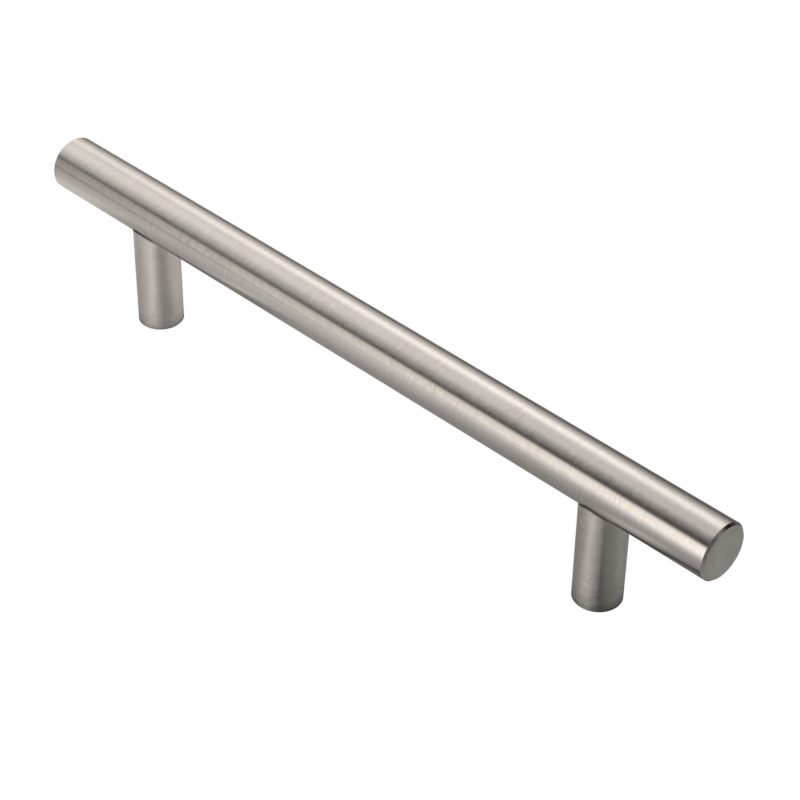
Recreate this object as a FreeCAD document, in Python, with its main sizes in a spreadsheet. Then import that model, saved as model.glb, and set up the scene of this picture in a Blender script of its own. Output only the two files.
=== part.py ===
import FreeCAD, Part

import math
import os

import Sketcher

# T-bar pull handle for a door or drawer front, in satin-brushed steel.
#
# A solid round bar is carried by two round posts that stand on the door. The bar is cut to
# length from ground stock and chamfered at both ends. Under it, at the fixing centres, two
# flat-bottomed seats are bored a little wider than the posts, and a stud hole is drilled and
# tapped in the middle of each. A post screws up a socket set screw until its flat top meets
# the seat's floor, so the joint shows as the curve where one cylinder runs into the other.
# Each post's foot has the tapped hole for the machine screw that comes through the door.
#
# Frame: X along the bar, Y across it, Z away from the door. The origin is on the door's face,
# midway between the posts. Lengths are in millimetres and angles in degrees.
# Threads are drawn as plain cylinders: a tapped hole at its tapping drill's diameter, and a
# set screw just inside that.

SIZES = {
    # Bar
    "bar_diameter": 12,
    "bar_length": 183,
    "bar_end_chamfer": 0.5,
    # Posts
    "hole_centres": 128,
    "projection": 34,
    "post_diameter": 10,
    "post_foot_chamfer": 0.2,
    "post_top_chamfer": 0.15,
    # Seats in the bar: the gap round a post, and the wall that hides the joint's flat floor
    "seat_clearance": 0.08,
    "seat_cover": 0.3,
    # Tapped hole in each foot, for an M4 machine screw
    "fixing_drill": 3.3,
    "fixing_depth": 13,
    "fixing_countersink": 4.3,
    "countersink_angle": 90,
    # Stud, an M5 socket set screw with one half in the bar: its holes, and its room in them.
    # The cover is the metal left between the hole's point and the top of the bar.
    "stud_drill": 4.2,
    "stud_cover": 2.2,
    "stud_length": 10,
    "stud_clearance": 0.02,
    "stud_end_gap": 0.5,
    "stud_chamfer": 0.5,
    "key_width": 2.5,
    "key_depth": 2.5,
    "drill_point_angle": 118,
}

# A seat's wall runs out through the bar's side at the height where the two cylinders cross,
# which is at most the bar's widest line. The floor lies past that height by the cover, so the
# flat top of a post that is narrower than the bar never shows.
BAR_RADIUS = "(Sizes.bar_diameter / 2)"
SEAT_RADIUS = "(Sizes.post_diameter / 2 + Sizes.seat_clearance)"
CROSSING = f"({BAR_RADIUS} - sqrt(max(0; {BAR_RADIUS}^2 - {SEAT_RADIUS}^2)))"
SEAT_DEPTH = f"({CROSSING} + Sizes.seat_cover)"

# Heights above the door's face.
BAR_AXIS = f"(Sizes.projection - {BAR_RADIUS})"
SEAT_FLOOR = f"(Sizes.projection - Sizes.bar_diameter + {SEAT_DEPTH})"
STUD_POINT = "(Sizes.stud_drill / 2 / tan(Sizes.drill_point_angle / 2))"
STUD_HOLE_TOP = f"(Sizes.projection - Sizes.stud_cover - {STUD_POINT})"
STUD_FOOT = f"({STUD_HOLE_TOP} - Sizes.stud_end_gap - Sizes.stud_length)"

# Where each post stands along the bar.
POST_PLACES = {"left": "-Sizes.hole_centres / 2", "right": "Sizes.hole_centres / 2"}

# A rod's round edges in order along it.
FIRST = 0
LAST = -1

document = FreeCAD.newDocument("t_bar_handle")


def fill_sheet():
    """The driving dimensions, one a row: the name, then the value under that alias."""
    sheet = document.addObject("Spreadsheet::Sheet", "Sizes")
    for row, (name, value) in enumerate(SIZES.items(), start=1):
        sheet.set(f"A{row}", name)
        sheet.set(f"B{row}", str(value))
        sheet.setAlias(f"B{row}", name)
    document.recompute()


def bind(feature, expressions):
    """Ties each named property of a feature to its expression on the sheet."""
    for name, expression in expressions.items():
        feature.setExpression(name, expression)


def new_body(label, place):
    """An empty body, put in its place by expressions for its X and Z."""
    body = document.addObject("PartDesign::Body", label)
    body.Label = label
    bind(body, {f"Placement.Base.{axis}": expression for axis, expression in place.items()})
    return body


def origin_planes(body):
    """The body's own planes by their names, such as XY_Plane."""
    return {part.Role: part for part in body.Origin.OriginFeatures}


def new_sketch(body, name, plane="XY_Plane", height=None):
    """A sketch on one of the body's own planes, or above it by an expression."""
    sketch = body.newObject("Sketcher::SketchObject", name)
    sketch.AttachmentSupport = (origin_planes(body)[plane], [""])
    sketch.MapMode = "FlatFace"
    if height:
        bind(sketch, {"AttachmentOffset.Base.z": height})
    return sketch


def dimension(sketch, name, expression, *constraint):
    """Adds a dimension to a sketch under a name, and ties it to its expression."""
    index = sketch.addConstraint(Sketcher.Constraint(*constraint, 1.0))
    sketch.renameConstraint(index, name)
    bind(sketch, {f"Constraints.{name}": expression})


def circle(sketch, diameter, across=None):
    """Draws a circle on the sketch's origin, or across from it along its X axis."""
    ring = sketch.addGeometry(Part.Circle(FreeCAD.Vector(1, 0), FreeCAD.Vector(0, 0, 1), 1), False)
    if across:
        sketch.addConstraint(Sketcher.Constraint("PointOnObject", ring, 3, -1))
        dimension(sketch, "across", across, "DistanceX", -1, 1, ring, 3)
    else:
        sketch.addConstraint(Sketcher.Constraint("Coincident", ring, 3, -1, 1))
    dimension(sketch, "diameter", diameter, "Diameter", ring)


def hexagon(sketch, across_flats):
    """Draws a regular hexagon round the sketch's origin."""
    corners = [
        FreeCAD.Vector(math.cos(math.radians(60 * turn)), math.sin(math.radians(60 * turn)))
        for turn in range(6)
    ]
    ends = corners[1:] + corners[:1]
    sides = [Part.LineSegment(start, end) for start, end in zip(corners, ends)]
    first, *others = sketch.addGeometry(sides, False)
    guide = sketch.addGeometry(Part.Circle(), True)
    sketch.addConstraint(Sketcher.Constraint("Coincident", guide, 3, -1, 1))
    for side in others:
        sketch.addConstraint(Sketcher.Constraint("Coincident", side - 1, 2, side, 1))
        sketch.addConstraint(Sketcher.Constraint("Equal", first, side))
        sketch.addConstraint(Sketcher.Constraint("PointOnObject", side, 1, guide))
    sketch.addConstraint(Sketcher.Constraint("Coincident", others[-1], 2, first, 1))
    sketch.addConstraint(Sketcher.Constraint("PointOnObject", first, 1, guide))
    sketch.addConstraint(Sketcher.Constraint("PointOnObject", first, 1, -1))
    dimension(sketch, "corners", f"{across_flats} * 2 / sqrt(3)", "Diameter", guide)


def cut(body, feature):
    """Takes a cutting feature into the body, and makes sure that it took metal away."""
    before = body.Shape.Volume
    body.Tip = feature
    document.recompute()
    if not body.Shape.Volume < before:
        raise ValueError(f"{feature.Label} cuts nothing from {body.Label}")


def rod(body, diameter, length, plane="XY_Plane", sides="One side"):
    """The round stock that a piece is made from, along the plane's normal."""
    profile = new_sketch(body, "StockSection", plane)
    circle(profile, diameter)
    stock = body.newObject("PartDesign::Pad", "Stock")
    stock.Profile = profile
    stock.SideType = sides
    bind(stock, {"Length": length})
    document.recompute()


def chamfer(body, name, size, *ends):
    """Breaks the rod's round edges at the ends that are named, by their order along it."""
    base = body.Tip
    rims = sorted(
        (edge.CenterOfMass.x + edge.CenterOfMass.z, f"Edge{number}")
        for number, edge in enumerate(base.Shape.Edges, start=1)
        if edge.Closed
    )
    feature = body.newObject("PartDesign::Chamfer", name)
    feature.Base = (base, [rims[end][1] for end in ends])
    bind(feature, {"Size": size})
    cut(body, feature)


def pocket(body, name, profile, depth, upwards):
    """Cuts a flat-bottomed pocket from the profile's plane."""
    feature = body.newObject("PartDesign::Pocket", name)
    feature.Profile = profile
    feature.Reversed = upwards
    bind(feature, {"Length": depth})
    cut(body, feature)
    return feature


def drill(body, name, profile, sizes, upwards, countersunk=False):
    """Drills from the profile's plane, to the end of the full diameter and a pointed end."""
    feature = body.newObject("PartDesign::Hole", name)
    feature.Profile = profile
    feature.DepthType = "Dimension"
    feature.DrillPoint = "Angled"
    feature.Reversed = upwards
    bind(feature, {"DrillPointAngle": "Sizes.drill_point_angle"})
    if countersunk:
        feature.HoleCutType = "Countersink"
        feature.HoleCutCustomValues = True
        bind(feature, {"HoleCutCountersinkAngle": "Sizes.countersink_angle"})
    bind(feature, sizes)
    cut(body, feature)
    return feature


def make_bar():
    """The bar: round stock, both ends chamfered, and a seat and stud hole for each post."""
    body = new_body("bar", {"z": BAR_AXIS})
    rod(body, "Sizes.bar_diameter", "Sizes.bar_length", "YZ_Plane", "Symmetric")
    chamfer(body, "EndChamfers", "Sizes.bar_end_chamfer", FIRST, LAST)

    mouth = new_sketch(body, "SeatCircle", height=f"-{BAR_RADIUS}")
    circle(mouth, f"2 * {SEAT_RADIUS}", across=POST_PLACES["right"])
    seat = pocket(body, "Seat", mouth, SEAT_DEPTH, upwards=True)

    floor = new_sketch(body, "StudCircle", height=f"{SEAT_DEPTH} - {BAR_RADIUS}")
    circle(floor, "Sizes.stud_drill", across=POST_PLACES["right"])
    stud_sizes = {"Diameter": "Sizes.stud_drill", "Depth": f"{STUD_HOLE_TOP} - {SEAT_FLOOR}"}
    stud_hole = drill(body, "StudHole", floor, stud_sizes, upwards=True)

    pair = body.newObject("PartDesign::Mirrored", "SeatPair")
    pair.Originals = [seat, stud_hole]
    pair.MirrorPlane = (origin_planes(body)["YZ_Plane"], [""])
    cut(body, pair)
    return body


def make_post(side):
    """A post: round stock, a fine chamfer at each end, and a tapped hole in each end."""
    body = new_body(f"{side}_post", {"x": POST_PLACES[side]})
    rod(body, "Sizes.post_diameter", SEAT_FLOOR)
    chamfer(body, "FootChamfer", "Sizes.post_foot_chamfer", FIRST)
    chamfer(body, "TopChamfer", "Sizes.post_top_chamfer", LAST)

    foot = new_sketch(body, "FixingCircle")
    circle(foot, "Sizes.fixing_drill")
    fixing_sizes = {
        "Diameter": "Sizes.fixing_drill",
        "Depth": "Sizes.fixing_depth",
        "HoleCutDiameter": "Sizes.fixing_countersink",
    }
    drill(body, "FixingHole", foot, fixing_sizes, upwards=True, countersunk=True)

    top = new_sketch(body, "StudCircle", height=SEAT_FLOOR)
    circle(top, "Sizes.stud_drill")
    stud_depth = f"{SEAT_FLOOR} - {STUD_FOOT} + Sizes.stud_end_gap"
    stud_sizes = {"Diameter": "Sizes.stud_drill", "Depth": stud_depth}
    drill(body, "StudHole", top, stud_sizes, upwards=False)
    return body


def make_stud(side):
    """A set screw, with its hexagon socket at the end that goes into the post."""
    body = new_body(f"{side}_stud", {"x": POST_PLACES[side], "z": STUD_FOOT})
    rod(body, "Sizes.stud_drill - 2 * Sizes.stud_clearance", "Sizes.stud_length")
    chamfer(body, "EndChamfers", "Sizes.stud_chamfer", FIRST, LAST)

    socket = new_sketch(body, "KeySection")
    hexagon(socket, "Sizes.key_width")
    pocket(body, "KeySocket", socket, "Sizes.key_depth", upwards=True)
    return body


def check_document():
    """Stops if any object failed or any piece isn't one sound solid."""
    document.recompute()
    failed = [item.Label for item in document.Objects if {"Invalid", "Error"} & set(item.State)]
    if failed:
        raise ValueError(f"These didn't compute: {failed}")
    for body in pieces:
        shape = body.Shape
        if shape.isNull() or not shape.isValid() or len(shape.Solids) != 1:
            raise ValueError(f"{body.Label} isn't one sound solid")


def write_steps():
    """Writes each piece to a file of its own, in its place on the handle."""
    os.makedirs("parts", exist_ok=True)
    for body in pieces:
        body.Shape.exportStep(f"parts/{body.Label}.step")
        print(f"{body.Label}: {body.Shape.Volume:.1f} cubic mm")


fill_sheet()
pieces = [make_bar()]
for side in POST_PLACES:
    pieces += [make_post(side), make_stud(side)]
check_document()
write_steps()
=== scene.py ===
import math

import bmesh
import bpy
from mathutils import Matrix, Vector


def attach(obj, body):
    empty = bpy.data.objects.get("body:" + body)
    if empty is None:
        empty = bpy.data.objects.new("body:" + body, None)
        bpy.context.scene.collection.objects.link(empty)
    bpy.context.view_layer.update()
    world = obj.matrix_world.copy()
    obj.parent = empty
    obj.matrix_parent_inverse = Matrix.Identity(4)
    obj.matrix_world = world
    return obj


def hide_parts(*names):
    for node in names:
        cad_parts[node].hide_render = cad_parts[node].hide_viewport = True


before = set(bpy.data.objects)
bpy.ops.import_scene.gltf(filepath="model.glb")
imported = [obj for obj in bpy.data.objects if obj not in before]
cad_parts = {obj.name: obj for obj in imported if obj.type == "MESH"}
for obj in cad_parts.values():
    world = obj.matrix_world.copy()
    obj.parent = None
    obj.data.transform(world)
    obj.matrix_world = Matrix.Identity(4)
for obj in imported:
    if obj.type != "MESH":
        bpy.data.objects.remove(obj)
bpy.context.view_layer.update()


# ---- The bar --------------------------------------------------------------------------------
# A solid stainless rod. It is sawn to length, faced and chamfered at both ends on a lathe, and
# buffed round and round on a belt. Two flat-floored seats are bored in its underside to take
# the tops of the posts, and each goes on as a drilled and tapped hole for the joining stud.

MM = 0.001
BAR_LENGTH = 183 * MM
BAR_RADIUS = 6 * MM
BAR_AXIS_HEIGHT = 28 * MM
BAR_CHAMFER = 0.5 * MM
HOLE_CENTRES = 128 * MM
SEAT_RADIUS = 5.08 * MM
SEAT_FLOOR = 25.1073 * MM
BROKEN_EDGE = 0.04 * MM          # what the buffing takes off a sharp edge
TAP_LEAD = 0.55 * MM             # how deep the countersink of a tapped M5 hole goes
STUD_HOLE_RADIUS = 2.1 * MM
STUD_HOLE_TOP = 30.54 * MM
STUD_PITCH = 0.8 * MM
FLOOR_RING = 4 * MM              # points that keep a seat's floor flat in the light
RUN_OUT = 0.4 * MM               # the length over which a stud hole's thread fades out
DRILL_POINT = 59                 # half of a drill's 118 degree point
ROUND_FACES = 144                # faces round the bar and the posts
THREAD_FACES = 72                # faces round a thread
WELD = 0.0002 * MM               # points nearer than this are one
SOFT_ANGLE = 25                  # degrees: a sharper edge is shaded as an edge

# a metric thread, as shares of its pitch
THREAD_DEPTH = 0.5413
THREAD_FLANK = 0.3125
HOLE_CREST = 0.125               # half of the flat on a crest, in a hole
SCREW_CREST = 0.0625             # and on a screw

STEEL = (0.60, 0.555, 0.515)
GRAZED_STEEL = (0.56, 0.54, 0.52, 1)     # its tint where it is seen along its surface
# the width of the darkened corner under the bar: sooty buffing residue and painted shade
SOOT_AND_SHADE_WIDTH = 0.4 * MM


class Wire:
    """A socket of a node tree. Sums written on it add the Math nodes that work them out."""

    def __init__(self, net, socket):
        self.net, self.socket = net, socket

    def out(self, name):
        outputs = self.socket.node.outputs
        return Wire(self.net, next(s for s in outputs if s.name == name and s.enabled))

    def __add__(self, other): return self.net.maths("ADD", self, other)
    def __sub__(self, other): return self.net.maths("SUBTRACT", self, other)
    def __mul__(self, other): return self.net.maths("MULTIPLY", self, other)
    def __truediv__(self, other): return self.net.maths("DIVIDE", self, other)
    def __pow__(self, other): return self.net.maths("POWER", self, other)
    def __gt__(self, other): return self.net.maths("GREATER_THAN", self, other)
    def __lt__(self, other): return self.net.maths("LESS_THAN", self, other)
    def __radd__(self, other): return self.net.maths("ADD", other, self)
    def __rsub__(self, other): return self.net.maths("SUBTRACT", other, self)
    def __rmul__(self, other): return self.net.maths("MULTIPLY", other, self)
    def __neg__(self): return self.net.maths("MULTIPLY", self, -1)
    def __abs__(self): return self.net.maths("ABSOLUTE", self)


class Net:
    """A node tree that is built in the order in which its nodes are written down."""

    def __init__(self, tree):
        self.tree = tree
        tree.nodes.clear()

    def node(self, kind, settings=None, sockets=None):
        """Adds a node, makes its settings, then sets or links its sockets by name or place."""
        made = self.tree.nodes.new(kind)
        for name, value in (settings or {}).items():
            setattr(made, name, value)
        for key, value in (sockets or {}).items():
            usable = [s for s in made.inputs if s.enabled]
            socket = usable[key] if isinstance(key, int) else next(
                s for s in usable if s.name == key)
            for one in value if isinstance(value, list) else [value]:
                if isinstance(one, Wire):
                    self.tree.links.new(one.socket, socket)
                else:
                    socket.default_value = one
        return Wire(self, next((s for s in made.outputs if s.enabled), None))

    def maths(self, operation, *values):
        return self.node("ShaderNodeMath", {"operation": operation}, dict(enumerate(values)))

    def vectors(self, operation, *values):
        return self.node("ShaderNodeVectorMath", {"operation": operation}, dict(enumerate(values)))

    def distance(self, x, y):
        return self.maths("SQRT", x ** 2 + y ** 2)

    def point(self, x, y, z):
        return self.node("ShaderNodeCombineXYZ", {}, {0: x, 1: y, 2: z})

    def parts(self, vector):
        apart = self.node("ShaderNodeSeparateXYZ", {}, {0: vector})
        return apart, apart.out("Y"), apart.out("Z")

    def within(self, value, low, high):
        return self.maths("MAXIMUM", self.maths("MINIMUM", value, high), low)

    def blend(self, share, first, second):
        return first + (second - first) * share


def new_recipe(name, **inputs):
    """A Geometry Nodes tree with one named input for each size, and its output."""
    tree = bpy.data.node_groups.new(name, "GeometryNodeTree")
    kinds = {float: "NodeSocketFloat", int: "NodeSocketInt", str: "NodeSocketMaterial"}
    tree.interface.new_socket("Outlines", in_out="INPUT", socket_type="NodeSocketGeometry")
    for title, value in inputs.items():
        made = tree.interface.new_socket(
            title.replace("_", " "), in_out="INPUT", socket_type=kinds[type(value)])
        if not isinstance(value, str):
            made.default_value = value
    tree.interface.new_socket("Piece", in_out="OUTPUT", socket_type="NodeSocketGeometry")
    net = Net(tree)
    given = net.node("NodeGroupInput")
    return net, given


def sizes_of(given):
    """The tree's inputs after the outlines, in the order in which they were named."""
    return [given.out(s.name) for s in given.socket.node.outputs
            if s.name and s.name != "Outlines"]


def fixed_index(net, value):
    return net.node("FunctionNodeFloatToInt", {"rounding_mode": "ROUND"}, {0: value})


def sheet_of_faces(net, rows, columns):
    """A grid whose place in it runs from 0 to 1 both ways, to be bent into a surface."""
    grid = net.node("GeometryNodeMeshGrid", {},
                    {"Size X": 1.0, "Size Y": 1.0, "Vertices X": rows, "Vertices Y": columns})
    along, across, _ = net.parts(net.node("GeometryNodeInputPosition"))
    return grid, along + 0.5, across + 0.5


def bent(net, sheet, x, y, z):
    return net.node("GeometryNodeSetPosition", {},
                    {"Geometry": sheet, "Position": net.point(x, y, z)})


def welded(net, pieces):
    joined = net.node("GeometryNodeJoinGeometry", {}, {"Geometry": pieces})
    return net.node("GeometryNodeMergeByDistance", {}, {"Geometry": joined, "Distance": WELD})


def turning_recipe():
    """Turns a run of the outline's points round the upright axis, as a lathe would."""
    net, given = new_recipe("Turned on the lathe", First_point=0, Points=2, Faces_round=72)
    outline = given.out("Outlines")
    count, faces = given.out("Points"), given.out("Faces round")
    sheet, run, turn = sheet_of_faces(net, count, faces + 1)
    row = fixed_index(net, given.out("First point") + run * (count - 1))

    def of_outline(field, kind):
        return net.node("GeometryNodeSampleIndex", {"data_type": kind, "domain": "POINT"},
                        {"Geometry": outline, "Value": field, "Index": row})

    def noted(name):
        return net.node("GeometryNodeInputNamedAttribute", {"data_type": "FLOAT"}, {"Name": name})

    radius, _, height = net.parts(
        of_outline(net.node("GeometryNodeInputPosition"), "FLOAT_VECTOR"))
    step = fixed_index(net, turn * faces) * 1.0
    paired = of_outline(noted("every second"), "FLOAT")
    step = net.blend(paired, step, net.maths("FLOOR", step / 2 + 0.01) * 2)
    angle = step * (2 * math.pi) / faces
    sixth = math.pi / 3
    from_flat = net.maths("WRAP", angle, sixth / 2, -sixth / 2)
    hexagon = of_outline(noted("hexagon"), "FLOAT")
    radius = net.blend(hexagon, radius, radius / net.maths("COSINE", from_flat))
    surface = bent(net, sheet, radius * net.maths("COSINE", angle),
                   radius * net.maths("SINE", angle), height)
    net.node("NodeGroupOutput", {}, {0: welded(net, [surface])})
    return net.tree


def thread_recipe():
    """A screw thread between two heights. The groove goes into the metal from a plain rod or
    bore of the radius given: outwards where Inwards is -1, and inwards where it is 1."""
    net, given = new_recipe(
        "Screw thread", Radius=2.0, Inwards=1.0, Pitch=0.8, Depth=0.4, Crest=0.0625, Phase=0.0,
        Bottom=0.0, Top=10.0, Bottom_chamfer=0.0, Top_chamfer=0.0, Bottom_fade=0.0001,
        Top_fade=0.0001, Faces_round=72)
    (radius, inwards, pitch, depth, crest, phase, bottom, top, bottom_chamfer, top_chamfer,
     bottom_fade, top_fade, faces) = sizes_of(given)
    turns = net.maths("CEIL", (top - bottom) / pitch) + 3
    across_faces = 16
    sheet, run, share = sheet_of_faces(net, turns * faces + 1, across_faces + 1)
    turned = fixed_index(net, run * turns * faces) / faces
    climb = net.maths("FLOOR", bottom / pitch) - 2 + turned + share + phase
    height = net.within(climb * pitch, bottom, top)
    groove = net.within((0.5 - crest - abs(share - 0.5)) / THREAD_FLANK, 0, 1)
    faded = (net.within((height - bottom) / bottom_fade, 0, 1)
             * net.within((top - height) / top_fade, 0, 1))
    cut = net.maths("MAXIMUM", groove * depth * faded, net.maths(
        "MAXIMUM", bottom_chamfer - (height - bottom), top_chamfer - (top - height)))
    angle = turned * (2 * math.pi)
    reach = radius - cut * inwards
    surface = bent(net, sheet, reach * net.maths("COSINE", angle),
                   reach * net.maths("SINE", angle), height)
    net.node("NodeGroupOutput", {}, {0: welded(net, [surface])})
    return net.tree


TURNED = turning_recipe()
THREAD = thread_recipe()


def use(net, recipe, outline=None, **sizes):
    """A group node of one of the recipes, with its sizes."""
    sockets = {name.replace("_", " "): value for name, value in sizes.items()}
    if outline:
        sockets["Outlines"] = outline
    return net.node("GeometryNodeGroup", {"node_tree": recipe}, sockets)


def moved(net, piece, shift=(0, 0, 0), turn=(0, 0, 0), scale=(1, 1, 1)):
    return net.node("GeometryNodeTransform", {},
                    {"Geometry": piece, "Translation": shift, "Rotation": turn, "Scale": scale})


def eased(points):
    """The outline with its inner corners rounded, and a point close to each end of an arc so
    that the flats beside it stay flat in the light. A point may carry a note as a third part."""
    drawn = [points[0]]
    for before, corner, after in zip(points, points[1:], points[2:]):
        if len(corner) > 2:
            drawn.append(corner)
            continue
        here = Vector(corner[:2])
        back, on = Vector(before[:2]) - here, Vector(after[:2]) - here
        reach = BROKEN_EDGE * math.tan((math.pi - back.angle(on)) / 2)
        start, end = here + back.normalized() * reach, here + on.normalized() * reach
        drawn.append(tuple(start + back.normalized() * reach * 0.6))
        for share in (0, 0.25, 0.5, 0.75, 1):
            drawn.append(tuple(start.lerp(here, share).lerp(here.lerp(end, share), share)))
        drawn.append(tuple(end + on.normalized() * reach * 0.6))
    return drawn + [points[-1]]


def outlines_of(name, *outlines):
    """An object that holds the outlines' points one after another, and where each starts."""
    mesh = bpy.data.meshes.new(name)
    points = [point for outline in outlines for point in outline]
    mesh.from_pydata([(p[0], 0, p[1]) for p in points], [], [])
    for note in ("hexagon", "every second"):
        values = mesh.attributes.new(note, "FLOAT", "POINT").data
        for value, point in zip(values, points):
            value.value = float(note in point[2:])
    holder = bpy.data.objects.new(name, mesh)
    bpy.context.scene.collection.objects.link(holder)
    runs, first = [], 0
    for outline in outlines:
        runs.append({"First_point": first, "Points": len(outline)})
        first += len(outline)
    return holder, runs


def made(holder, recipe, name, **values):
    """Runs the recipe on the outlines and gives back its result as a plain mesh object."""
    modifier = holder.modifiers.new("recipe", "NODES")
    modifier.node_group = recipe
    names = {s.name: s.identifier for s in recipe.interface.items_tree if s.in_out == "INPUT"}
    for title, value in values.items():
        modifier[names[title.replace("_", " ")]] = value
    holder.update_tag()
    ready = holder.evaluated_get(bpy.context.evaluated_depsgraph_get())
    mesh = bpy.data.meshes.new_from_object(ready)
    holder.modifiers.remove(modifier)
    mesh.name = name
    tidy = bmesh.new()
    tidy.from_mesh(mesh)
    bmesh.ops.remove_doubles(tidy, verts=tidy.verts, dist=WELD)
    bmesh.ops.delete(tidy, geom=[e for e in tidy.edges if not e.link_faces], context="EDGES")
    bmesh.ops.recalc_face_normals(tidy, faces=tidy.faces)
    for face in tidy.faces:
        face.smooth = True
    for edge in tidy.edges:
        edge.smooth = edge.calc_face_angle(0) < math.radians(SOFT_ANGLE)
    tidy.to_mesh(mesh)
    tidy.free()
    kept = [m for m in mesh.materials if m]
    mesh.materials.clear()
    for material in kept:
        mesh.materials.append(material)
    mesh.polygons.foreach_set("material_index", [0] * len(mesh.polygons))
    piece = bpy.data.objects.new(name, mesh)
    bpy.context.scene.collection.objects.link(piece)
    return piece


def new_material(name):
    material = bpy.data.materials.new(name)
    material.use_nodes = True
    return material, Net(material.node_tree)


def scaled(net, vector, scale):
    return net.node("ShaderNodeVectorMath", {"operation": "SCALE"},
                    {"Vector": vector, "Scale": scale})


def brushed_steel(name, axis, centre, spread, polish):
    """Stainless steel buffed round an axis. The marks run round it, so they are tight across
    and long round; those too fine to see spread a reflection along the axis. Flat ends carry
    the rings of the facing tool. Under the bar, the corner where a post meets it is darkened
    almost to black: sooty residue of the buffing, and painted shade of the joint."""
    material, net = new_material(name)
    place = net.node("ShaderNodeTexCoord").out("Object")
    from_axis = net.vectors("SUBTRACT", place, centre)
    along = net.vectors("DOT_PRODUCT", from_axis, axis).out("Value")
    outward = net.vectors("SUBTRACT", from_axis, scaled(net, axis, along))
    radius = net.vectors("LENGTH", outward).out("Value")
    round_way = net.vectors("NORMALIZE", net.vectors("CROSS_PRODUCT", axis, outward))
    normal = net.node("ShaderNodeNewGeometry").out("Normal")
    across_way = net.vectors("CROSS_PRODUCT", normal, round_way)
    across = along - radius * 1.37           # so they show on flat ends and chamfers too

    def marks(spacing, length, detail, roughness, seed):
        """Marks of a spacing across and a length round, both in metres."""
        spot = net.vectors("ADD", scaled(net, outward, 1 / length),
                           scaled(net, axis, across / spacing + seed))
        return net.node("ShaderNodeTexNoise", {"noise_dimensions": "3D"}, {
            "Vector": spot, "Scale": 1.0, "Detail": detail, "Roughness": roughness}) - 0.5

    grain = marks(spacing=0.004 * MM, length=2 * MM, detail=2, roughness=0.6, seed=3)
    hairs = marks(spacing=0.12 * MM, length=2.5 * MM, detail=2, roughness=0.6, seed=11)
    lines = marks(spacing=0.5 * MM, length=9 * MM, detail=3, roughness=0.6, seed=17)
    cloud = marks(spacing=9 * MM, length=6 * MM, detail=2, roughness=0.5, seed=5)
    facing = abs(net.vectors("DOT_PRODUCT", normal, axis).out("Value"))
    # 1 on a chamfer of 45 degrees, and 1 on a flat end
    chamfered = net.within(2.6 - abs(facing - 0.7) / 0.1, 0, 1)
    faced = net.within((facing - 0.95) * 100, 0, 1)
    few_are_steep = net.maths("SINH", grain * 9.6)
    tilt = (few_are_steep * spread * (1 - chamfered * 0.7) + hairs * 0.015
            + lines * 0.015)
    bent_normal = net.vectors("NORMALIZE", net.vectors(
        "ADD", normal, scaled(net, across_way, tilt)))

    x, y, z = net.parts(place)
    from_bar = net.distance(y, z - BAR_AXIS_HEIGHT) - BAR_RADIUS
    from_post = net.distance(abs(x) - HOLE_CENTRES / 2, y) - SEAT_RADIUS
    under = z < BAR_AXIS_HEIGHT
    from_corner = abs(from_bar) + abs(from_post) + hairs * 0.1 * MM
    # painted shade with sooty buffing residue: darkens the corner where a post meets the bar
    soot_and_painted_shade = net.within(1.3 - from_corner / SOOT_AND_SHADE_WIDTH, 0, 1) * under * 0.95
    shade = (1 + hairs * 0.22 + lines * (0.14 + faced * 0.1) + cloud * (0.06 + faced * 0.3)) * (
        1 - soot_and_painted_shade)
    steel = net.node("ShaderNodeBsdfPrincipled", {}, {
        "Base Color": scaled(net, STEEL, shade), "Metallic": 1.0,
        "Specular Tint": GRAZED_STEEL,
        "Roughness": polish + cloud * 0.03 + soot_and_painted_shade * 0.3, "Normal": bent_normal})
    net.node("ShaderNodeOutputMaterial", {}, {"Surface": steel})
    return material


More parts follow.
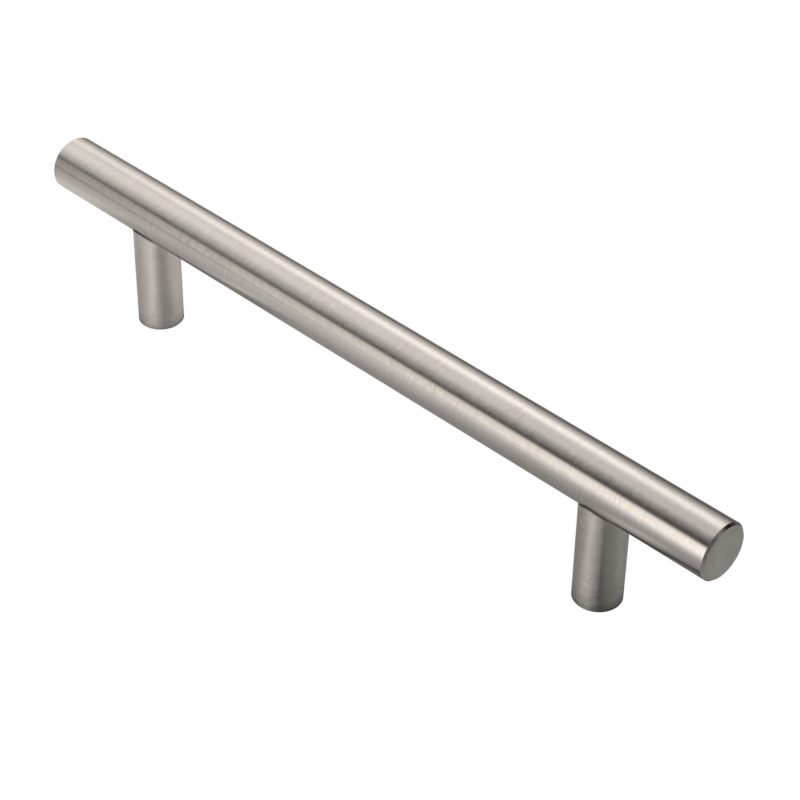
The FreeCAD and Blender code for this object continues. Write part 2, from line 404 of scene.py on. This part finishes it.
def bar_recipe(end, floor, point):
    """Half of the bar with its seat is bent from a sheet, closed with its turned end and
    mirrored; the two tapped holes are added after, because a mirror would turn the thread."""
    net, given = new_recipe(
        "Bar with two seats", Length=BAR_LENGTH, Radius=BAR_RADIUS, Axis_height=BAR_AXIS_HEIGHT,
        Hole_centres=HOLE_CENTRES, Seat_radius=SEAT_RADIUS, Seat_floor=SEAT_FLOOR,
        Chamfer=BAR_CHAMFER, Broken_edge=BROKEN_EDGE, Stud_hole_radius=STUD_HOLE_RADIUS,
        Stud_hole_top=STUD_HOLE_TOP, Pitch=STUD_PITCH, Steel="")
    (length, radius, axis_height, centres, seat, seat_floor, chamfer, ease, stud_hole,
     stud_hole_top, pitch, steel) = sizes_of(given)
    outlines = given.out("Outlines")
    cell = radius * (2 * math.pi / ROUND_FACES)
    hole = ROUND_FACES // 8          # half the width of the seat's square, in faces
    ring = hole + 10                 # and of the square that it is drawn out of
    middle, outer = 24, 9            # faces from the bar's middle to it, and on to the end
    seat_x = centres / 2
    side_end = length / 2 - chamfer - ease

    # the seat's square of faces is left open, and the faces round it are drawn to a circle
    columns = middle + 2 * ring + outer
    sheet, run, turn = sheet_of_faces(net, columns + 1, ROUND_FACES + 1)
    column = fixed_index(net, run * columns) * 1.0
    across = fixed_index(net, turn * ROUND_FACES) - ROUND_FACES / 2
    near = net.within(column - middle, 0, 2 * ring) - ring
    ring_reach = cell * ring
    x = (net.within(column, 0, middle) * (seat_x - ring_reach) / middle
         + (near + ring) * cell
         + net.within(column - middle - 2 * ring, 0, outer)
         * (side_end - seat_x - ring_reach) / outer)
    level = net.maths("MAXIMUM", abs(near), abs(across))
    beside = abs(near) - abs(across) > -0.5
    quarter = math.pi / 4
    lean = quarter * net.blend(
        beside,
        near / net.maths("MAXIMUM", abs(across), 0.01) * net.maths("SIGN", across),
        across / net.maths("MAXIMUM", abs(near), 0.01) * net.maths("SIGN", near))
    long_way, short_way = net.maths("COSINE", lean), net.maths("SINE", lean)
    ring_x = net.blend(beside, net.maths("SIGN", across) * short_way,
                       net.maths("SIGN", near) * long_way)
    ring_y = net.blend(beside, net.maths("SIGN", across) * long_way,
                       net.maths("SIGN", near) * short_way)
    mouth = seat + ease
    round_x = seat_x + mouth * ring_x
    round_s = radius * net.maths("ARCSINE", mouth * ring_y / radius)
    edge_x = seat_x + near / net.maths("MAXIMUM", level, 1) * ring_reach
    edge_s = across / net.maths("MAXIMUM", level, 1) * ring_reach
    share = (level - hole) / (ring - hole)
    inside = (level < ring + 0.5) * (abs(near) < ring + 0.5)
    on_ring = net.within(column - middle + 0.5, 0, 1) * net.within(
        middle + 2 * ring - column + 0.5, 0, 1) * inside
    flat_x = net.blend(on_ring, x, net.blend(share, round_x, edge_x))
    flat_s = net.blend(on_ring, across * cell, net.blend(share, round_s, edge_s))
    bottom_angle = flat_s / radius
    face_level = net.maths("MAXIMUM", abs(run * columns - middle - ring),
                           abs(turn * ROUND_FACES - ROUND_FACES / 2))
    opened = net.node("GeometryNodeDeleteGeometry", {"domain": "FACE"},
                      {"Geometry": sheet, "Selection": face_level < hole})
    side = bent(net, opened, flat_x, radius * net.maths("SINE", bottom_angle),
                axis_height - radius * net.maths("COSINE", bottom_angle))

    # the seat's wall, from its mouth in the round of the bar to its flat floor
    sheet, run, turn = sheet_of_faces(net, 4, ROUND_FACES + 1)
    row = fixed_index(net, run * 3) * 1.0
    angle = fixed_index(net, turn * ROUND_FACES) * (2 * math.pi / ROUND_FACES)
    wall_radius = seat + ease * net.within(1 - row, 0, 1)
    down = wall_radius * net.maths("SINE", angle)
    rim = (axis_height - net.maths("SQRT", radius * radius - down * down)
           + ease * net.within(row, 0, 1))
    wall_height = net.blend(net.within(row - 1, 0, 2) / 2, rim, seat_floor)
    wall = bent(net, sheet, seat_x + wall_radius * net.maths("COSINE", angle), down, wall_height)

    shift = net.point(seat_x, 0.0, 0.0)
    floor_ring = moved(net, use(net, TURNED, outlines, Faces_round=ROUND_FACES, **floor), shift)
    bar_end = moved(net, use(net, TURNED, outlines, Faces_round=ROUND_FACES, **end),
                    net.point(0.0, 0.0, axis_height), (0, math.pi / 2, 0))
    half = welded(net, [side, wall, floor_ring, bar_end])
    other = net.node("GeometryNodeFlipFaces", {}, {"Mesh": moved(net, half, scale=(-1, 1, 1))})

    thread = use(net, THREAD, Radius=stud_hole, Inwards=-1.0, Pitch=pitch,
                 Depth=pitch * THREAD_DEPTH, Crest=HOLE_CREST, Phase=0.5, Bottom=seat_floor,
                 Top=stud_hole_top, Bottom_chamfer=TAP_LEAD, Top_fade=RUN_OUT,
                 Faces_round=THREAD_FACES)
    drilled = use(net, TURNED, outlines, Faces_round=THREAD_FACES, **point)
    hole_made = net.node("GeometryNodeJoinGeometry", {}, {"Geometry": [thread, drilled]})
    places = net.node("GeometryNodeMeshLine", {"mode": "END_POINTS"}, {
        "Count": 2, "Start Location": net.point(-seat_x, 0.0, 0.0), "Offset": shift})
    holes = net.node("GeometryNodeInstanceOnPoints", {},
                     {"Points": places, "Instance": hole_made})
    real = net.node("GeometryNodeRealizeInstances", {}, {"Geometry": holes})
    whole = welded(net, [half, other, real])
    steel_on = net.node("GeometryNodeSetMaterial", {}, {"Geometry": whole, "Material": steel})
    net.node("NodeGroupOutput", {}, {0: steel_on})
    return net.tree


half_length = BAR_LENGTH / 2
bar_end = eased([
    (BAR_RADIUS, half_length - BAR_CHAMFER - BROKEN_EDGE),
    (BAR_RADIUS, half_length - BAR_CHAMFER),
    (BAR_RADIUS - BAR_CHAMFER, half_length),
    (BAR_RADIUS * 0.4, half_length)])
bar_end[-1:] = [(BAR_RADIUS * share, half_length) for share in (0.75, 0.5, 0.25, 0.1, 0)]
seat_floor = [(SEAT_RADIUS, SEAT_FLOOR), (FLOOR_RING, SEAT_FLOOR),
              (STUD_HOLE_RADIUS + TAP_LEAD, SEAT_FLOOR, "every second")]


def drill_point(radius, height, upwards=1):
    """Where a drill stopped: its cone, from the bore to the tip."""
    return [(radius * share, height + upwards * (1 - share) * radius
             / math.tan(math.radians(DRILL_POINT))) for share in (1, 0.5, 0.15, 0)]


holder, (end_run, floor_run, point_run) = outlines_of(
    "bar outlines", bar_end, seat_floor, drill_point(STUD_HOLE_RADIUS, STUD_HOLE_TOP))
bar_steel = brushed_steel(
    "steel buffed round the bar", (1, 0, 0), (0, 0, BAR_AXIS_HEIGHT), spread=0.10, polish=0.17)
bar = made(holder, bar_recipe(end_run, floor_run, point_run), "brushed_bar", Steel=bar_steel)
bpy.data.objects.remove(holder)
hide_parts("bar")
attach(bar, "root")


# ---- The posts ------------------------------------------------------------------------------
# Two turned stainless pins. The top of each stands in its seat in the bar and is tapped M5 for
# the joining stud; the foot is faced, chamfered, countersunk and tapped M4 for the screw that
# comes through the door or drawer front.

POST_RADIUS = 5 * MM
POST_TOP_CHAMFER = 0.15 * MM
POST_FOOT_CHAMFER = 0.2 * MM
FIXING_RADIUS = 1.65 * MM
FIXING_COUNTERSINK = 0.5 * MM
FIXING_THREAD = 11.5 * MM
FIXING_DEPTH = 13 * MM
FIXING_PITCH = 0.7 * MM
STUD_HOLE_FOOT = 19.54 * MM
FACE_RING = 3.5 * MM             # points that keep the post's ends flat in the light
SIDE_RINGS = (18 * MM, 10 * MM)  # and its side straight


def finished(net, pieces, place, steel):
    """The pieces in one, at their place along the bar and in their steel."""
    whole = moved(net, welded(net, pieces), net.point(place, 0.0, 0.0))
    real = net.node("GeometryNodeRealizeInstances", {}, {"Geometry": whole})
    net.node("NodeGroupOutput", {}, {0: net.node(
        "GeometryNodeSetMaterial", {}, {"Geometry": real, "Material": steel})})
    return net.tree


def post_recipe(outer, fixing_point, stud_point):
    """A post standing on the origin: its turned outside and its two tapped holes."""
    net, given = new_recipe(
        "Turned post", Post_top=SEAT_FLOOR, Fixing_radius=FIXING_RADIUS,
        Fixing_pitch=FIXING_PITCH, Fixing_thread=FIXING_THREAD,
        Fixing_countersink=FIXING_COUNTERSINK, Stud_hole_radius=STUD_HOLE_RADIUS,
        Stud_hole_foot=STUD_HOLE_FOOT, Stud_pitch=STUD_PITCH, Place=0.0, Steel="")
    (top, fixing_radius, fixing_pitch, fixing_thread, countersink, stud_hole, stud_hole_foot,
     stud_pitch, place, steel) = sizes_of(given)
    outlines = given.out("Outlines")
    fixing = use(net, THREAD, Radius=fixing_radius, Inwards=-1.0, Pitch=fixing_pitch,
                 Depth=fixing_pitch * THREAD_DEPTH, Crest=HOLE_CREST, Phase=0.0, Bottom=0.0,
                 Top=fixing_thread, Bottom_chamfer=countersink, Top_fade=fixing_pitch,
                 Faces_round=THREAD_FACES)
    stud = use(net, THREAD, Radius=stud_hole, Inwards=-1.0, Pitch=stud_pitch,
               Depth=stud_pitch * THREAD_DEPTH, Crest=HOLE_CREST, Phase=0.5,
               Bottom=stud_hole_foot, Top=top, Top_chamfer=TAP_LEAD, Bottom_fade=RUN_OUT,
               Faces_round=THREAD_FACES)
    turned = [use(net, TURNED, outlines, Faces_round=faces, **run) for faces, run in (
        (ROUND_FACES, outer), (THREAD_FACES, fixing_point), (THREAD_FACES, stud_point))]
    return finished(net, [fixing, stud, *turned], place, steel)


post_outline = eased([
    (STUD_HOLE_RADIUS + TAP_LEAD, SEAT_FLOOR, "every second"),
    (FACE_RING, SEAT_FLOOR, "plain"),
    (POST_RADIUS - POST_TOP_CHAMFER, SEAT_FLOOR),
    (POST_RADIUS, SEAT_FLOOR - POST_TOP_CHAMFER),
    *[(POST_RADIUS, height, "plain") for height in SIDE_RINGS],
    (POST_RADIUS, POST_FOOT_CHAMFER),
    (POST_RADIUS - POST_FOOT_CHAMFER, 0),
    (FACE_RING, 0, "plain"),
    (FIXING_RADIUS + FIXING_COUNTERSINK, 0, "every second")])
fixing_point = [(FIXING_RADIUS, FIXING_THREAD)] + drill_point(FIXING_RADIUS, FIXING_DEPTH)
holder, (outer_run, fixing_run, stud_run) = outlines_of(
    "post outlines", post_outline, fixing_point,
    drill_point(STUD_HOLE_RADIUS, STUD_HOLE_FOOT, -1))
post_tree = post_recipe(outer_run, fixing_run, stud_run)
for side, place in (("left", -HOLE_CENTRES / 2), ("right", HOLE_CENTRES / 2)):
    post_steel = brushed_steel(f"steel buffed round the {side} post", (0, 0, 1), (place, 0, 0),
                               spread=0.3, polish=0.18)
    post = made(holder, post_tree, f"brushed_post_{side}", Place=place, Steel=post_steel)
    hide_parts(f"{side}_post")
    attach(post, "root")
bpy.data.objects.remove(holder)


# ---- The joining studs ----------------------------------------------------------------------
# M5 steel grub screws, cold-drawn, rolled and blackened. Each is wound into its post with a
# hexagon key, and the bar is pulled down on to it, so that none of it shows when it is up.

STUD_FOOT = 20.0382 * MM
STUD_TOP = 30.0382 * MM
STUD_RADIUS = 2.48 * MM
STUD_CHAMFER = 0.5 * MM
KEY_HALF = 1.25 * MM
KEY_DEPTH = 2.5 * MM
KEY_LEAD = 0.1 * MM              # the break round the key's socket
KEY_DRILL = KEY_HALF * 0.85      # radius of the hole that was drilled before the socket
THREAD_PLAY = 0.02 * MM          # how much deeper the screw's grooves are than they need be
BLACK_OXIDE = (0.045, 0.043, 0.042, 1)
WORN_STEEL = (0.30, 0.29, 0.28, 1)


def stud_recipe(foot, top):
    """A grub screw that follows the thread of the two holes that it joins."""
    net, given = new_recipe("Grub screw", Radius=STUD_RADIUS, Foot=STUD_FOOT, Top=STUD_TOP,
                            Chamfer=STUD_CHAMFER, Pitch=STUD_PITCH, Place=0.0, Steel="")
    radius, stud_foot, stud_top, chamfer, pitch, place, steel = sizes_of(given)
    outlines = given.out("Outlines")
    thread = use(net, THREAD, Radius=radius, Inwards=1.0, Pitch=pitch,
                 Depth=pitch * THREAD_DEPTH + THREAD_PLAY, Crest=SCREW_CREST, Phase=0.0,
                 Bottom=stud_foot, Top=stud_top, Bottom_chamfer=chamfer,
                 Top_chamfer=chamfer, Faces_round=THREAD_FACES)
    ends = [use(net, TURNED, outlines, Faces_round=THREAD_FACES, **run) for run in (foot, top)]
    return finished(net, [thread, *ends], place, steel)


def blackened_steel(name):
    """Rolled steel with a thin black oxide, worn to bare metal where it has rubbed."""
    material, net = new_material(name)
    place = net.node("ShaderNodeTexCoord").out("Object")
    grain = net.node("ShaderNodeTexNoise", {}, {
        "Vector": place, "Scale": 1 / (0.4 * MM), "Detail": 4.0})
    patches = net.node("ShaderNodeTexNoise", {}, {
        "Vector": place, "Scale": 1 / (2 * MM), "Detail": 3.0})
    worn = net.within((patches - 0.58) * 9, 0, 1) * 0.6
    colour = net.node("ShaderNodeMix", {"data_type": "RGBA"}, {
        "Factor": worn, "A": BLACK_OXIDE, "B": WORN_STEEL})
    bump = net.node("ShaderNodeBump", {}, {
        "Strength": 0.25, "Distance": 0.02 * MM, "Height": grain})
    steel = net.node("ShaderNodeBsdfPrincipled", {}, {
        "Base Color": colour, "Metallic": 0.9, "Roughness": 0.45 - worn * 0.2,
        "Normal": bump})
    net.node("ShaderNodeOutputMaterial", {}, {"Surface": steel})
    return material


key_corner = KEY_HALF / math.cos(math.pi / 6)
stud_end = STUD_RADIUS - STUD_CHAMFER
foot_outline = [
    (stud_end, STUD_FOOT),
    (key_corner + KEY_LEAD, STUD_FOOT),
    (key_corner, STUD_FOOT + KEY_LEAD * 0.8),
    (KEY_HALF, STUD_FOOT + KEY_LEAD, "hexagon"),
    (KEY_HALF, STUD_FOOT + KEY_DEPTH, "hexagon"),
    *drill_point(KEY_DRILL, STUD_FOOT + KEY_DEPTH)]
top_outline = [(stud_end * share, STUD_TOP) for share in (1, 0.6, 0.2, 0)]
holder, (foot_run, top_run) = outlines_of("stud outlines", foot_outline, top_outline)
stud_tree = stud_recipe(foot_run, top_run)
stud_steel = blackened_steel("blackened steel of the studs")
for side, place in (("left", -HOLE_CENTRES / 2), ("right", HOLE_CENTRES / 2)):
    stud = made(holder, stud_tree, f"joining_stud_{side}", Place=place, Steel=stud_steel)
    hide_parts(f"{side}_stud")
    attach(stud, "root")
bpy.data.objects.remove(holder)


# ---- The studio -----------------------------------------------------------------------------
# The handle stands on its feet on a pale table in a white cove. A broad soft box stands on
# the table in front of it, and banks of soft light hang on the left, at the back and overhead.
# The table glows with painted pools of light and painted shadows. Of all this the steel shows
# the light, and the camera sees only white.

WHITE = (1, 1, 1, 1)
PAINTED_CONTACT_SHADOW_RADIUS = POST_RADIUS + 0.4 * MM  # of the dark where a foot touches the table
TABLE_HALF = 3                           # metres
PAINTED_TABLE_LIGHT_TINT = (0.985, 0.992, 1)
BOX_FACES = Vector((0, 0, 20)) * MM      # the point that the front box is turned towards


def faded(net, value, half, soft):
    """1 in the middle, fading to 0 across a soft edge at the half width."""
    return net.node("ShaderNodeMapRange", {"interpolation_type": "SMOOTHSTEP"}, {
        "Value": abs(value), "From Min": half + soft, "From Max": half - soft,
        "To Min": 0.0, "To Max": 1.0})


def patch(net, first, second, centre, half, soft):
    """A soft-edged rectangle in two coordinates."""
    return (faded(net, first - centre[0], half[0], soft[0])
            * faded(net, second - centre[1], half[1], soft[1]))


def pale_table_with_painted_light(name):
    """A white table top that glows with painted light: painted pools of light and painted
    shadows, placed in millimetres from the middle of the handle, which the steel shows. The
    camera sees it plain white, and sees through it from below. It is open under the feet, so
    that light from below reaches their threads."""
    material, net = new_material(name)
    x, y, _ = net.parts(net.node("ShaderNodeTexCoord").out("Object"))
    x, y = x / MM, y / MM
    aside = x - net.maths("SIGN", x) * (HOLE_CENTRES / MM / 2)
    from_foot = net.distance(aside, y)
    beyond = x - HOLE_CENTRES / MM / 2
    bounced = 0.22
    # painted pools of light on the table, which the steel shows in its reflections
    painted_pool_from_left_bank = patch(net, x, y, centre=(-210, 35), half=(0, 25), soft=(490, 85)) * 4.1
    painted_light_thrown_by_posts = patch(net, abs(x - 2), y, centre=(58, -20), half=(4, 8), soft=(7, 9)) * 0.6
    painted_pool_before_handle = patch(net, x, y, centre=(-80, -180), half=(130, 150), soft=(95, 20)) * 0.35
    painted_pool_under_front_box = patch(net, x, y, centre=(100, -530), half=(95, 420), soft=(295, 95)) * 1.5
    # painted shade: the table's light is dimmed in a patch to the right of the handle, towards the
    # front
    painted_shade_at_right = patch(net, x, y, centre=(215, -120), half=(105, 55), soft=(5, 55)) * 0.9
    painted_pool_beside_left_post = patch(net, x, y, centre=(-112, 0), half=(14, 25), soft=(10, 20)) * 0.5
    light = (bounced + painted_pool_from_left_bank + painted_light_thrown_by_posts + painted_pool_before_handle + painted_pool_under_front_box
             + painted_pool_beside_left_post) * (1 - painted_shade_at_right)

    # painted shadows on the table: beside each post, thin and slanting in front of the right one,
    # round each foot
    painted_shadow_beside_post = faded(net, net.distance(aside - 15, y + 6), 10, 6) * 0.4
    painted_shadow_aslant = patch(net, (beyond - y) * 0.7, (beyond + y) * 0.7, centre=(19, 0),
                   half=(13, 2.5), soft=(5, 3)) * 0.7
    painted_shade_round_foot = faded(net, from_foot, 6.5, 3) * 0.24
    painted_contact_shadow = faded(net, from_foot, PAINTED_CONTACT_SHADOW_RADIUS / MM, 0.9) * 0.85
    light = (light * (1 - painted_shadow_beside_post) * (1 - painted_shadow_aslant) - painted_shade_round_foot) * (1 - painted_contact_shadow)
    shown = net.node("ShaderNodeEmission", {}, {
        "Color": scaled(net, PAINTED_TABLE_LIGHT_TINT, net.maths("MAXIMUM", light, 0.02))})
    white = net.node("ShaderNodeEmission", {}, {"Color": WHITE, "Strength": 1.0})
    seen = net.node("ShaderNodeLightPath").out("Is Camera Ray")
    top = net.node("ShaderNodeMixShader", {}, {0: seen, 1: shown, 2: white})
    clear = net.node("ShaderNodeBsdfTransparent", {}, {"Color": WHITE})
    below = net.node("ShaderNodeNewGeometry").out("Backfacing")
    under_foot = from_foot < (POST_RADIUS - POST_FOOT_CHAMFER) / MM
    net.node("ShaderNodeOutputMaterial", {}, {
        "Surface": net.node("ShaderNodeMixShader", {}, {
            0: net.maths("MAXIMUM", below, under_foot), 1: top, 2: clear})})
    return material


def stage_sheet(name, half_width, half_height, material, place=Matrix()):
    mesh = bpy.data.meshes.new(name)
    w, h = half_width, half_height
    mesh.from_pydata([(-w, -h, 0), (w, -h, 0), (w, h, 0), (-w, h, 0)], [], [(0, 1, 2, 3)])
    mesh.materials.append(material)
    sheet = bpy.data.objects.new(name, mesh)
    bpy.context.scene.collection.objects.link(sheet)
    sheet.matrix_world = place
    sheet.visible_shadow = False
    return sheet


def soft_box(name, azimuth, elevation, distance, half, soft, strength, tint):
    """A sheet of light facing the handle. Azimuth goes from the front towards the right, in
    degrees; the sizes are in millimetres. Only the steel sees it."""
    material, net = new_material(name)
    x, y, _ = net.parts(net.node("ShaderNodeTexCoord").out("Object"))
    glow = net.node("ShaderNodeEmission", {}, {
        "Color": scaled(net, tint, patch(net, x / MM, y / MM, (0, 0), half, soft)),
        "Strength": strength})
    clear = net.node("ShaderNodeBsdfTransparent", {}, {"Color": WHITE})
    net.node("ShaderNodeOutputMaterial", {}, {
        "Surface": net.node("ShaderNodeAddShader", {}, {0: glow, 1: clear})})
    a, e = math.radians(azimuth), math.radians(elevation)
    out = Vector((math.sin(a) * math.cos(e), -math.cos(a) * math.cos(e), math.sin(e)))
    place = Matrix.Translation(out * distance * MM + BOX_FACES)
    turn = out.to_track_quat("Z", "Y").to_matrix().to_4x4()
    box = stage_sheet(name, (half[0] + soft[0]) * MM, (half[1] + soft[1]) * MM,
                      material, place @ turn)
    box.visible_camera = False


def cove(name):
    """White where the camera sees past the table. The steel sees the far banks of light in it,
    each at an azimuth and an elevation in degrees."""
    world = bpy.data.worlds.new(name)
    world.use_nodes = True
    net = Net(world.node_tree)
    x, y, z = net.parts(net.node("ShaderNodeTexCoord").out("Generated"))
    azimuth = net.maths("ARCTAN2", x, -y) * (180 / math.pi)
    elevation = net.maths("ARCSINE", net.within(z, -1, 1)) * (180 / math.pi)

    def bank(centre, half, soft, lean=0):
        """It leans to one side, degree for degree, as it comes down from 30 degrees."""
        aside = azimuth - centre[0] - net.maths("MINIMUM", elevation - 30, 0) * lean
        return patch(net, net.maths("WRAP", aside, 180, -180), elevation,
                     (0, centre[1]), half, soft)

    left_bank = bank(centre=(-105, 20), half=(45, 45), soft=(20, 10)) * 0.85
    beside_it = bank(centre=(-75, 37), half=(32, 12), soft=(6, 16), lean=1.3) * 0.5
    strip_at_the_back_left = bank(centre=(-135, 39), half=(0, 14), soft=(40, 13)) * 1.7
    overhead = faded(net, elevation - 90, 25, 25) * 0.6
    back = bank(centre=(190, 47), half=(33, 35), soft=(13, 21)) * 0.4
    right = bank(centre=(75, 12), half=(30, 14), soft=(15, 8)) * 0.16
    high_right = bank(centre=(95, 60), half=(60, 28), soft=(15, 6)) * 0.5
    from_below = net.within(z * -8, 0, 1) * 0.5
    light = (left_bank + beside_it + strip_at_the_back_left + overhead + back + right
             + high_right + from_below)
    seen = net.node("ShaderNodeLightPath").out("Is Camera Ray")
    net.node("ShaderNodeOutputWorld", {}, {"Surface": net.node("ShaderNodeBackground", {}, {
        "Color": WHITE, "Strength": net.blend(seen, light, 1.0)})})
    return world


stage_sheet("floor", TABLE_HALF, TABLE_HALF, pale_table_with_painted_light("pale table with painted light"))
soft_box("front box", azimuth=1.5, elevation=-5.2, distance=470, half=(300, 340), soft=(550, 90),
         strength=2.3, tint=(1, 0.98, 0.95))
scene = bpy.context.scene
scene.world = cove("white cove")
scene.view_settings.view_transform = "Standard"


# ---- The camera -----------------------------------------------------------------------------
# It looks down on the handle from the front right, near enough for the right end to come
# towards it, as in the photograph.

LOOKED_AT = Vector((6.8, 3.7, 13.7)) * MM
CAMERA_DISTANCE = 470 * MM
CAMERA_AZIMUTH = 44.36           # degrees from the front towards the right
CAMERA_ELEVATION = 37.44
CAMERA_ROLL = 0.88

lens = bpy.data.cameras.new("camera")
lens.sensor_width = 36
lens.lens = 104.5
lens.clip_start, lens.clip_end = 0.01, 20
camera = bpy.data.objects.new("camera", lens)
turned = (Matrix.Rotation(math.radians(CAMERA_AZIMUTH), 4, "Z")
          @ Matrix.Rotation(math.radians(90 - CAMERA_ELEVATION), 4, "X")
          @ Matrix.Rotation(math.radians(CAMERA_ROLL), 4, "Z"))
camera.matrix_world = (Matrix.Translation(LOOKED_AT) @ turned
                       @ Matrix.Translation((0, 0, CAMERA_DISTANCE)))
scene.collection.objects.link(camera)
scene.camera = camera
